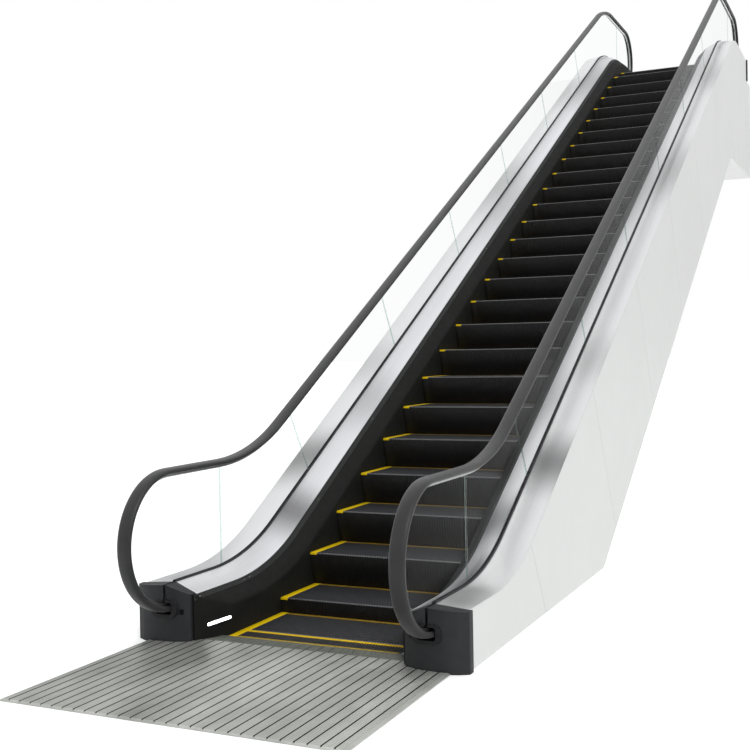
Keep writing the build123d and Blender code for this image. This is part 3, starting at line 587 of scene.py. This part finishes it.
def buildComb(name, move, replaced):
    bm = bmesh.new()
    top, under = plate["thick"], cleats["cutLevel"]
    back, root, tip = plate["combBack"], combRoot, cleats["combTip"]
    halfBack, halfRoot = flareHalf(back) - plate["flareGap"], flareHalf(root) - plate["flareGap"]
    columns = [(-1.0, 0.0)] + [(x / halfRoot, drop) for x, drop in plateRelief(halfRoot)] + [(1.0, 0.0)]
    rings = []
    for share, drop in columns:
        ring = [(share * halfBack, back, under), (share * halfBack, back, top - drop),
                (share * halfRoot, root - 0.016, top - drop), (share * halfRoot, root, top - 0.0006),
                (share * halfRoot, root, under)]
        rings.append([move(point) for point in ring])
    skinRings(bm, rings)
    low = top - machine["treadDrop"] - cleats["depth"] + 0.001
    profile = ((root - 0.001, top - 0.0002, 1.0), (root + 0.012, top - 0.001, 1.0),
               (tip - 0.004, low + 0.0018, 0.75), (tip, low + 0.0006, 0.4))
    for number in range(cleats["count"] + 1):
        x = -cleatHalf + number * cleatPitch
        wide = cleatPitch * 0.20
        if number in (0, cleats["count"]):
            wide *= 0.6
        rings = []
        for y, high, share in profile:
            foot, edge = wide * share, wide * share * 0.8
            tooth = ((x - foot, y, low), (x + foot, y, low), (x + edge, y, high), (x - edge, y, high))
            rings.append([move(point) for point in tooth])
        skinRings(bm, rings, materialAt=lambda ring, place: 1)
    finishPiece(bm, name, [surfaces["combAluminium"], surfaces["markingYellow"]], replaced, sharp=25)


buildFloorPlate("lowerPlate", plate["length"], toBottom, ["lower_floor_plate"])
buildFloorPlate("upperPlate", plate["upperLength"], toTop, ["upper_floor_plate"])
buildComb("lowerComb", toBottom, ["lower_comb_plate"])
buildComb("upperComb", toTop, ["upper_comb_plate"])
print("combs and plates ready")


# Balustrade

balustrade = {
    "deckSheet": 0.006, "deckEdge": 0.004, "deckHem": 0.02, "deckReturn": 0.016, "skirtSheet": 0.004,
    "skirtFoot": 0.375, "bendDepth": 0.123, "foldBelow": 0.012, "foldReach": 0.010, "ledgeWidth": 0.028,
    "ledgeGap": 0.0005, "seatDepth": 0.085, "seatProud": 0.009, "seatBevel": 0.002, "glassHalf": 0.006,
    "glassDepth": 0.075, "trimWidth": 0.026, "trimThick": 0.0012, "trimSink": 0.0005}
seatIn = machine["glassX"] - machine["seatHalf"]
seatOut = machine["glassX"] + machine["seatHalf"]
crown = machine["deckCrown"]


def buildDecks(sideName, side):
    sheet, ledge = balustrade["deckSheet"], machine["ledgeDepth"]
    inner = machine["ledgeX"] + sheet
    half = machine["machineHalf"]
    innerSection = [(inner, -ledge + 0.0002), (inner, -ledge + sheet - 0.0015), (inner + 0.0015, -ledge + sheet),
                    (seatIn, crown), (seatIn, crown - sheet), (inner + balustrade["deckHem"], -ledge + 0.0002)]
    outerSection = [(seatOut, crown - sheet), (seatOut, crown), (half - 0.003, 0.0003), (half - 0.0008, -0.0010),
                    (half, -balustrade["deckEdge"]), (half - balustrade["deckReturn"], -balustrade["deckEdge"])]
    for label, section in (("inner", innerSection), ("outer", outerSection)):
        bm = bmesh.new()
        sweepSection(bm, section, deckLine(), side)
        finishPiece(bm, sideName + label.capitalize() + "Deck", [surfaces[label + "DeckSteel"]],
                    [sideName + "_" + label + "_deck"], sharp=30)
    lip = crown + balustrade["seatProud"]
    deep, slot = lip - balustrade["seatDepth"], lip - balustrade["glassDepth"]
    bevel = balustrade["seatBevel"]
    glassIn, glassOut = machine["glassX"] - balustrade["glassHalf"], machine["glassX"] + balustrade["glassHalf"]
    seatSection = [(seatIn, lip - bevel), (seatIn, deep), (seatOut, deep), (seatOut, lip - bevel),
                   (seatOut - bevel, lip), (glassOut, lip - 0.001), (glassOut, slot), (glassIn, slot),
                   (glassIn, lip - 0.001), (seatIn + bevel, lip)]
    bm = bmesh.new()
    sweepSection(bm, seatSection, deckLine(), side)
    finishPiece(bm, sideName + "GlassSeat", [surfaces["seatRubber"]], [sideName + "_glass_seat"])


# Folded sheet at one place: wall, slope and ledge, as far as the wall leaves room for the slope
def skirtRing(half):
    ledge, sheet, bend = machine["ledgeDepth"], balustrade["skirtSheet"], balustrade["bendDepth"]
    reach = machine["ledgeX"] - machine["skirtX"]
    lean = (bend - ledge) / reach
    crease = min(-bend + (half - machine["skirtX"]) * lean, -ledge - balustrade["ledgeGap"])
    crest = max(machine["ledgeX"], half)
    outer = machine["ledgeX"] + balustrade["ledgeWidth"]
    foot, under = -balustrade["skirtFoot"], -ledge - balustrade["ledgeGap"]
    onSlope = min(balustrade["foldReach"], (crest - half) * 0.5)
    return [(half, foot), (half, crease - balustrade["foldBelow"]), (half + onSlope * 0.12, crease - 0.003),
            (half + onSlope, crease + onSlope * lean), (crest, under), (outer, under),
            (outer, -ledge - sheet), (crest + sheet * 0.3, -ledge - sheet), (half + sheet, crease - sheet),
            (half + sheet, foot)]


def skirtLine():
    line = deckLine(0.0)
    ends = [plate["flareLength"] * share for share in (0.01, 0.25, 0.5, 0.75, 0.97, 1.0)]
    return sorted(line + [(y, line[0][1]) for y in ends] + [(upperBoxes - y, line[-1][1]) for y in ends])


# Half width between the skirts at one place along the machine
def skirtHalf(y):
    return flareHalf(min(y, upperBoxes - y))


def buildSkirt(sideName, side):
    bm = bmesh.new()
    sweepAlong(bm, skirtLine(), side, lambda point: skirtRing(skirtHalf(point[0])))
    cutAway(bm, (0, 0, cleats["cutLevel"]), (0, 0, -1))
    finishPiece(bm, sideName + "Skirt", [surfaces["skirtCoating"]], [sideName + "_skirt"], sharp=40)


# Thin strip laid on the skirt from its crest down over slope and wall
def trimSection(half):
    path = [Vector(corner) for corner in skirtRing(half)[4::-1]]
    spots, leg, gone = [], 0, 0.0
    for share in (0.0, 0.35, 0.7, 1.0):
        reach = share * balustrade["trimWidth"]
        while gone + (path[leg + 1] - path[leg]).length < reach:
            gone += (path[leg + 1] - path[leg]).length
            leg += 1
        step = (path[leg + 1] - path[leg]).normalized()
        spots.append((path[leg] + step * (reach - gone), Vector((step.y, -step.x))))
    return ([spot + out * balustrade["trimThick"] for spot, out in spots]
            + [spot - out * balustrade["trimSink"] for spot, out in spots[::-1]])


# Strip under the deck edge, following the skirt from box to box, lighter than the skirt as painted sheen where its
# slope catches light
def buildTrim(sideName, side):
    bm = bmesh.new()
    sweepAlong(bm, skirtLine(), side, lambda point: trimSection(skirtHalf(point[0])))
    finishPiece(bm, sideName + "LedgeTrim", [surfaces["satinAndLedgeSheen"]], sharp=40)


for sideName, side in sides.items():
    buildDecks(sideName, side)
    buildSkirt(sideName, side)
    buildTrim(sideName, side)
print("decks and skirts ready")


# Handrails

handrail = {
    "height": 0.890, "lift": 0.742, "bend": 1.300, "low": 0.165, "newelBack": 0.012, "newelParts": 44, "inside": 0.03,
    "width": 0.080, "thick": 0.030, "backShare": 0.42, "backTurn": 80, "backParts": 8, "slot": 0.034,
    "slotDepth": 0.017, "lip": 0.011, "round": 0.003, "guideWidth": 0.024, "guideDepth": 0.034, "guideGap": 0.0003}
newelRadius = (handrail["height"] - handrail["low"]) / 2
newelLevel = (handrail["height"] + handrail["low"]) / 2


# From inside the lower box round the newel, up the run and down into the upper box
def railLine():
    lowY, highY = -handrail["newelBack"], upperBoxes + handrail["newelBack"]
    lowCentre, highCentre = machine["landing"] + newelLevel, upperLevel + newelLevel
    parts = handrail["newelParts"]
    arc = [(newelRadius * math.sin(math.pi * part / parts), newelRadius * math.cos(math.pi * part / parts))
           for part in range(parts + 1)]
    lower = [(lowY - out, lowCentre - up) for out, up in arc[:-1]]
    middle = runLine(handrail["height"], handrail["lift"], handrail["bend"], lowY, highY)
    upper = [(highY + out, highCentre + up) for out, up in arc[1:]]
    first = (lowY + handrail["inside"], lowCentre - newelRadius)
    last = (highY - handrail["inside"], highCentre - newelRadius)
    return [first] + lower + middle + upper + [last]


# Rounded back with two lips that close round the guide
def railSection():
    half, thick = handrail["width"] / 2, handrail["thick"]
    slot, deep = handrail["slot"] / 2, handrail["slotDepth"]
    low, back, rounding = -thick / 2, handrail["backShare"], handrail["round"]
    right = []
    for part in range(handrail["backParts"] + 1):
        angle = math.radians(90 - handrail["backTurn"] * part / handrail["backParts"])
        right.append((half * math.cos(angle) ** 0.8, low + thick * (back + (1 - back) * math.sin(angle) ** 0.9)))
    right += [(half, low + thick * 0.30), (half * 0.97, low + thick * 0.14), (half * 0.88, low + thick * 0.03),
              (half * 0.76, low), (slot + rounding, low), (slot, low + rounding), (slot, low + handrail["lip"]),
              (slot, low + deep)]
    right[0] = (0.0, right[0][1])
    left = [(-x, up) for x, up in reversed(right[1:])]
    return right + left


def buildRail(sideName, side):
    bm = bmesh.new()
    sweepSection(bm, railSection(), railLine(), side, machine["glassX"])
    finishPiece(bm, sideName + "Handrail", [surfaces["railRubber"]], [sideName + "_handrail"],
                sharp=50)
    half, rounding = handrail["guideWidth"] / 2, handrail["round"]
    top = -handrail["thick"] / 2 + handrail["slotDepth"] - handrail["guideGap"]
    low = top - handrail["guideDepth"]
    section = [(-half, top), (half, top), (half, low + rounding), (half - rounding, low), (-half + rounding, low),
               (-half, low + rounding)]
    bm = bmesh.new()
    sweepSection(bm, section, railLine(), side, machine["glassX"])
    finishPiece(bm, sideName + "HandrailGuide", [surfaces["guideMetal"]],
                [sideName + "_handrail_guide"])


for sideName, side in sides.items():
    buildRail(sideName, side)
print("handrails ready")


# Lamps, sensors and screws

lamp = {"length": 0.158, "height": 0.036, "share": 0.64, "level": 0.079, "lensLength": 0.146, "lensHeight": 0.016,
        "tilt": 7, "proud": 0.004, "depth": 0.018, "bevel": 0.005, "roundParts": 12}


# Slot shaped ring on the opened end of the skirt, with its length, height, lean and how far it stands out
def lampRing(side, long, high, proud, tilt=0.0):
    width, length = plate["flareX"] - machine["skirtX"], plate["flareLength"]
    along = Vector((-width, length, 0)).normalized()
    outward = Vector((-length, -width, 0)).normalized()
    middle = Vector((machine["skirtX"] + width * (1 - lamp["share"]), length * lamp["share"],
                     machine["landing"] + lamp["level"]))
    radius, lean = high / 2, math.radians(tilt)
    ring = []
    for way, start in ((1, -90), (-1, 90)):
        for part in range(lamp["roundParts"] + 1):
            angle = math.radians(start + 180 * part / lamp["roundParts"])
            flat, up = way * (long / 2 - radius) + radius * math.cos(angle), radius * math.sin(angle)
            reach = flat * math.cos(lean) - up * math.sin(lean)
            rise = flat * math.sin(lean) + up * math.cos(lean)
            point = middle + along * reach + outward * proud + Vector((0, 0, rise))
            ring.append((side * point.x, point.y, point.z))
    return ring


# A dark body with a bevelled slot and a thin bright lens that leans a little in it
def buildLamps():
    lens = bmesh.new()
    body = bmesh.new()
    long, high, tilt = lamp["lensLength"], lamp["lensHeight"], lamp["tilt"]
    for side in sides.values():
        rings = [lampRing(side, lamp["length"] - drop, lamp["height"] - drop, proud) for drop, proud in
                 ((0.0, -lamp["depth"]), (0.0, lamp["proud"] - 0.001), (0.002, lamp["proud"]))]
        rings += [lampRing(side, long + grow, high + grow, proud, tilt) for grow, proud in
                  ((lamp["bevel"], lamp["proud"]), (0.0, 0.0006), (0.0, 0.0002))]
        skinRings(body, rings)
        skinRings(lens, [lampRing(side, long - 0.0002, high - 0.0002, proud, tilt) for proud in (0.0003, 0.0010)])
    finishPiece(body, "entryLamps", [surfaces["skirtCoating"]], ["entry_lamps"])
    finishPiece(lens, "entryLampLenses", [lampLens])


buildLamps()
print("lamps ready")


# Pale edges of the panes in their seams, upright at the newels and square to the incline between them
def buildSeams():
    seam = {"first": 1.490, "pitch": 1.587, "landing": 0.470, "half": 0.0013, "deep": 0.0056}
    bm = bmesh.new()
    normal = Vector((0, -slopeSin, slopeCos))
    along = Vector((0, slopeCos, slopeSin))
    deckTop = crown + balustrade["seatProud"]
    railLow = handrail["thick"] / 2 - handrail["slotDepth"] + handrail["guideDepth"]
    going = seam["pitch"] * slopeCos
    high = (handrail["lift"] - machine["deckLift"]) * slopeCos - railLow
    bars = []
    y = seam["first"]
    while y < upperCorner:
        level = machine["landing"] + machine["deckLift"] + (y - machine["lowerCorner"]) * run
        bars.append((Vector((0, y, level)), along, normal, deckTop, high))
        y += going
    for y, level in ((seam["landing"], machine["landing"]), (upperBoxes - seam["landing"], upperLevel)):
        bars.append((Vector((0, y, level)), Vector((0, 1, 0)), Vector((0, 0, 1)),
                     machine["deckHeight"] + deckTop + 0.004, handrail["height"] - railLow))
    for side in sides.values():
        for start, ahead, up, low, top in bars:
            rings = []
            for rise in (low, top):
                middle = start + up * rise + Vector((side * machine["glassX"], 0, 0))
                rings.append([middle + Vector((wide * seam["deep"], 0, 0)) + ahead * way * seam["half"]
                              for wide, way in ((-1, -1), (1, -1), (1, 1), (-1, 1))])
            skinRings(bm, rings)
    finishPiece(bm, "paneEdges", [paneEdge])


boxes = {"gap": 0.002, "front": 0.016, "bulge": 0.046, "facetFront": 0.042, "facetWidth": 0.050, "facetLean": 0.026}


# Front of a lower inlet box at one place across: bulged, with a flat facet at its outer edge
def boxBulge(x):
    inner, facet = plate["tongueHalf"] + boxes["gap"], plate["boxFacet"]
    if x >= facet:
        return -boxes["facetFront"] + (x - facet) / boxes["facetWidth"] * boxes["facetLean"]
    share = (x - (inner + facet) / 2) / (facet - inner) * 2
    return -boxes["front"] - boxes["bulge"] * (1 - share ** 2)


def addDisc(bm, middle, outward, radius, proud, parts=12):
    turn = Vector(outward).to_track_quat("Z", "Y")
    rings = []
    for reach, rise in ((1.0, -0.001), (1.0, proud * 0.6), (0.8, proud)):
        rings.append([Vector(middle) + turn @ Vector((radius * reach * math.cos(math.tau * part / parts),
                                                      radius * reach * math.sin(math.tau * part / parts), rise))
                      for part in range(parts)])
    skinRings(bm, rings)


# Height of a line over one place, between the two points beside it, with the normal of its nearest point
def lineAt(line, y):
    near = min(range(len(line)), key=lambda place: abs(line[place][0] - y))
    after = near if near and line[near][0] > y else min(near + 1, len(line) - 1)
    (backY, backZ), (aheadY, aheadZ) = line[after - 1], line[after]
    return backZ + (aheadZ - backZ) * (y - backY) / (aheadY - backY), lineNormal(line, near)


# Small screws of the boxes and the trim, and the dark sensor windows of the boxes
def buildFittings():
    fitting = {"boxScrews": ((0.747, 0.090), (0.747, 0.025), (0.932, 0.262), (0.932, 0.045)),
               "boxScrewRadius": 0.0032, "boxScrewProud": 0.0010, "trimScrewRadius": 0.0028, "trimScrewProud": 0.0024,
               "sensor": (0.646, 0.664, 0.153, 0.181), "sensorProud": 0.0012, "sensorSink": 0.003,
               "trimSpots": (0.035, 0.457, 0.507), "trimPitch": 0.794}
    screws, windows, boxScrews = bmesh.new(), bmesh.new(), bmesh.new()
    line = deckLine()
    trimSpots = list(fitting["trimSpots"])
    while trimSpots[-1] + fitting["trimPitch"] < upperBoxes - plate["flareLength"]:
        trimSpots.append(trimSpots[-1] + fitting["trimPitch"])
    left, right, low, high = fitting["sensor"]
    for side in sides.values():
        for move, level, way in ((toBottom, 0.0, -1), (toTop, machine["landing"], 1)):
            for x, z in fitting["boxScrews"]:
                addDisc(boxScrews, move((side * x, boxBulge(x), level + z)), (0, way, 0),
                        fitting["boxScrewRadius"], fitting["boxScrewProud"])
            rings = []
            for x in (left, (left + right) / 2, right):
                front, back = boxBulge(x) - fitting["sensorProud"], boxBulge(x) + fitting["sensorSink"]
                outline = ((front, low), (front, high), (back, high), (back, low))
                rings.append([move((side * x, y, z)) for y, z in outline])
            skinRings(windows, rings)
        for y in trimSpots:
            z, normal = lineAt(line, y)
            slope, crest = (Vector(corner) for corner in skirtRing(skirtHalf(y))[3:5])
            lean = (crest - slope).normalized()
            spot = crest - lean * balustrade["trimWidth"] * 0.5
            addDisc(screws, (side * spot.x, y + normal.x * spot.y, z + normal.y * spot.y),
                    (-side * lean.y, normal.x * lean.x, normal.y * lean.x),
                    fitting["trimScrewRadius"], fitting["trimScrewProud"])
    finishPiece(screws, "trimScrews", [surfaces["screwSteel"]])
    finishPiece(boxScrews, "boxScrews", [surfaces["satinAndLedgeSheen"]])
    finishPiece(windows, "sensorWindows", [surfaces["sensorWindow"]])


buildSeams()
buildFittings()
print("seams, screws and sensors ready")


# Floor, light and camera

studio = {"floorColour": (0.92, 0.92, 0.92, 1), "floorGlow": 0.32, "floorBounce": 0.15, "floorReach": 120,
          "floorLevel": -0.0006, "sky": 0.78, "zenith": (0.93, 0.935, 0.94, 1), "horizon": (0.42, 0.42, 0.43, 1),
          "sunPower": 0.95, "sunSoftness": 30}


# One where a ray comes straight from the camera or through glass
def seenRays(tree):
    path = addNode(tree, "LightPath")
    either = addNode(tree, "Math", operation="MAXIMUM")
    joinNodes(tree, (path.outputs["Is Camera Ray"], either.inputs[0]),
              (path.outputs["Is Transmission Ray"], either.inputs[1]))
    return path, either.outputs[0]


def buildFloor():
    mesh = bpy.data.meshes.new("studioFloor")
    reach, level = studio["floorReach"], studio["floorLevel"]
    mesh.from_pydata([(-reach, -reach, level), (reach, -reach, level), (reach, reach, level), (-reach, reach, level)],
                     [], [(0, 1, 2, 3)])
    floor = addObject("studioFloor", mesh)
    material, tree, output = emptyMaterial("studioWhite")
    matte = addNode(tree, "BsdfDiffuse", {"Color": studio["floorColour"]})
    glow = addNode(tree, "Emission", {"Color": (1, 1, 1, 1)})
    path, seen = seenRays(tree)
    direct = addNode(tree, "Math", {1: studio["floorGlow"]}, operation="MULTIPLY")
    bounce = addNode(tree, "Math", {1: studio["floorBounce"]}, operation="MULTIPLY")
    strength = addNode(tree, "Math", operation="MAXIMUM")
    both = addNode(tree, "AddShader")
    joinNodes(tree, (seen, direct.inputs[0]), (path.outputs["Is Diffuse Ray"], bounce.inputs[0]),
              (direct.outputs[0], strength.inputs[0]), (bounce.outputs[0], strength.inputs[1]),
              (strength.outputs[0], glow.inputs["Strength"]), (matte.outputs["BSDF"], both.inputs[0]),
              (glow.outputs["Emission"], both.inputs[1]), (both.outputs["Shader"], output.inputs["Surface"]))
    mesh.materials.append(material)


# White where it is seen, a soft sky for diffuse light, and a brighter zenith over a dim horizon in mirrors
def buildWorld():
    world = bpy.data.worlds.new("studioWorld")
    bpy.context.scene.world = world
    world.use_nodes = True
    tree = world.node_tree
    tree.nodes.clear()
    output = addNode(tree, "OutputWorld")
    back = addNode(tree, "Background", {"Color": (1, 1, 1, 1), "Strength": 1.0})
    sky = addNode(tree, "Background", {"Color": (1, 1, 1, 1), "Strength": studio["sky"]})
    mirror = addNode(tree, "Background", {"Strength": 1.0})
    place = addNode(tree, "TexCoord")
    axes = addNode(tree, "SeparateXYZ")
    ramp = addNode(tree, "ValToRGB")
    ramp.color_ramp.elements[0].position = 0.08
    ramp.color_ramp.elements[1].position = 0.48
    ramp.color_ramp.elements[0].color = studio["horizon"]
    ramp.color_ramp.elements[1].color = studio["zenith"]
    path, seen = seenRays(tree)
    glossy = addNode(tree, "MixShader")
    mix = addNode(tree, "MixShader")
    joinNodes(tree, (place.outputs["Generated"], axes.inputs["Vector"]), (axes.outputs["Z"], ramp.inputs["Fac"]),
              (ramp.outputs["Color"], mirror.inputs["Color"]), (path.outputs["Is Glossy Ray"], glossy.inputs["Fac"]),
              (sky.outputs["Background"], glossy.inputs[1]), (mirror.outputs["Background"], glossy.inputs[2]),
              (seen, mix.inputs["Fac"]), (glossy.outputs["Shader"], mix.inputs[1]),
              (back.outputs["Background"], mix.inputs[2]), (mix.outputs["Shader"], output.inputs["Surface"]))


def addSun(name, direction):
    light = bpy.data.lights.new(name, "SUN")
    light.energy = studio["sunPower"]
    light.angle = math.radians(studio["sunSoftness"])
    sun = addObject(name, light)
    sun.rotation_euler = Vector(direction).to_track_quat("-Z", "Y").to_euler()


def buildCamera():
    view = {"place": (2.7602, -4.6672, 1.5148), "yaw": 23.952, "pitch": -1.347, "roll": -1.069, "focal": 1081.29,
            "centre": 415, "frame": 750, "sensor": 36, "farthest": 300}
    yaw, pitch, roll = (math.radians(view[key]) for key in ("yaw", "pitch", "roll"))
    ahead = Vector((-math.sin(yaw) * math.cos(pitch), math.cos(yaw) * math.cos(pitch), math.sin(pitch)))
    right = Vector((math.cos(yaw), math.sin(yaw), 0))
    up = right.cross(ahead)
    right, up = (right * math.cos(roll) + up * math.sin(roll), up * math.cos(roll) - right * math.sin(roll))
    data = bpy.data.cameras.new("photoView")
    data.sensor_width = view["sensor"]
    data.lens = view["focal"] * view["sensor"] / view["frame"]
    data.shift_x = (view["frame"] / 2 - view["centre"]) / view["frame"]
    data.clip_end = view["farthest"]
    camera = addObject("photoView", data)
    turn = Matrix((right, up, -ahead)).transposed().to_4x4()
    camera.matrix_world = Matrix.Translation(view["place"]) @ turn
    bpy.context.scene.camera = camera


buildFloor()
buildWorld()
addSun("softSun", (-0.65, 0.35, -0.70))
buildCamera()
bpy.context.scene.view_settings.view_transform = "Standard"
print("studio ready")
